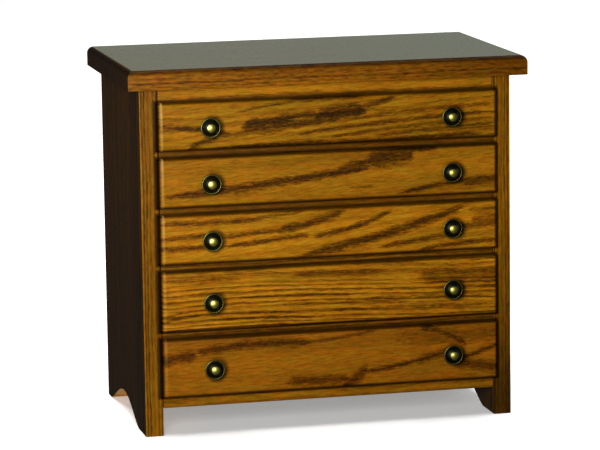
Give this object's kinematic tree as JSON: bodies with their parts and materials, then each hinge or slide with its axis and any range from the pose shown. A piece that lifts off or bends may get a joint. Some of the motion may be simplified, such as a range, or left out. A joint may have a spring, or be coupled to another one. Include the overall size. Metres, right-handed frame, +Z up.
{
  "type": "miniature chest of drawers",
  "caption": "Miniature oak chest: thick rounded-over top, side panels with arched feet, full-width lipped drawers that slide out, turned brass knobs.",
  "frame": {"origin": "floor level, middle of the overall width and of the overall depth with the knobs counted in", "axes": "+X to the chest's left-to-right as seen from the front, -Y out of the drawer fronts, +Z up"},
  "size_m": [0.28, 0.1684, 0.254],
  "materials": {
    "oak": "golden brown stained oak under satin varnish",
    "oak_dark": "golden brown stained oak under satin varnish",
    "secondary_wood": "bare pale wood, lightly sanded",
    "plywood": "thin plywood, unfinished",
    "antique_brass": "polished with a dark patina in the hollows",
    "steel": "zinc-plated screw"
  },
  "bodies": {
    "carcass": {"top_panel": "oak", "left_side": "oak_dark", "right_side": "oak_dark", "back_panel": "plywood", "top_rail": "oak", "bottom_rail": "oak", "divider_1": "oak", "divider_2": "oak", "divider_3": "oak", "divider_4": "oak", "bottom_board": "secondary_wood", "cleat_left": "secondary_wood", "cleat_right": "secondary_wood"},
    "drawer_1": {"drawer_1_front": "oak", "drawer_1_left": "secondary_wood", "drawer_1_right": "secondary_wood", "drawer_1_back": "secondary_wood", "drawer_1_bottom": "plywood", "knob_1_left": "antique_brass", "knob_1_right": "antique_brass", "screw_1_left": "steel", "screw_1_right": "steel"},
    "drawer_2": {"drawer_2_front": "oak", "drawer_2_left": "secondary_wood", "drawer_2_right": "secondary_wood", "drawer_2_back": "secondary_wood", "drawer_2_bottom": "plywood", "knob_2_left": "antique_brass", "knob_2_right": "antique_brass", "screw_2_left": "steel", "screw_2_right": "steel"},
    "drawer_3": {"drawer_3_front": "oak", "drawer_3_left": "secondary_wood", "drawer_3_right": "secondary_wood", "drawer_3_back": "secondary_wood", "drawer_3_bottom": "plywood", "knob_3_left": "antique_brass", "knob_3_right": "antique_brass", "screw_3_left": "steel", "screw_3_right": "steel"},
    "drawer_4": {"drawer_4_front": "oak", "drawer_4_left": "secondary_wood", "drawer_4_right": "secondary_wood", "drawer_4_back": "secondary_wood", "drawer_4_bottom": "plywood", "knob_4_left": "antique_brass", "knob_4_right": "antique_brass", "screw_4_left": "steel", "screw_4_right": "steel"},
    "drawer_5": {"drawer_5_front": "oak", "drawer_5_left": "secondary_wood", "drawer_5_right": "secondary_wood", "drawer_5_back": "secondary_wood", "drawer_5_bottom": "plywood", "knob_5_left": "antique_brass", "knob_5_right": "antique_brass", "screw_5_left": "steel", "screw_5_right": "steel"}
  },
  "joints": [
    {"name": "drawer_1_slide", "type": "slide", "parent": "carcass", "child": "drawer_1", "axis": [0, -1, 0], "range_m": [0, 0.105]},
    {"name": "drawer_2_slide", "type": "slide", "parent": "carcass", "child": "drawer_2", "axis": [0, -1, 0], "range_m": [0, 0.105]},
    {"name": "drawer_3_slide", "type": "slide", "parent": "carcass", "child": "drawer_3", "axis": [0, -1, 0], "range_m": [0, 0.105]},
    {"name": "drawer_4_slide", "type": "slide", "parent": "carcass", "child": "drawer_4", "axis": [0, -1, 0], "range_m": [0, 0.105]},
    {"name": "drawer_5_slide", "type": "slide", "parent": "carcass", "child": "drawer_5", "axis": [0, -1, 0], "range_m": [0, 0.105]}
  ]
}
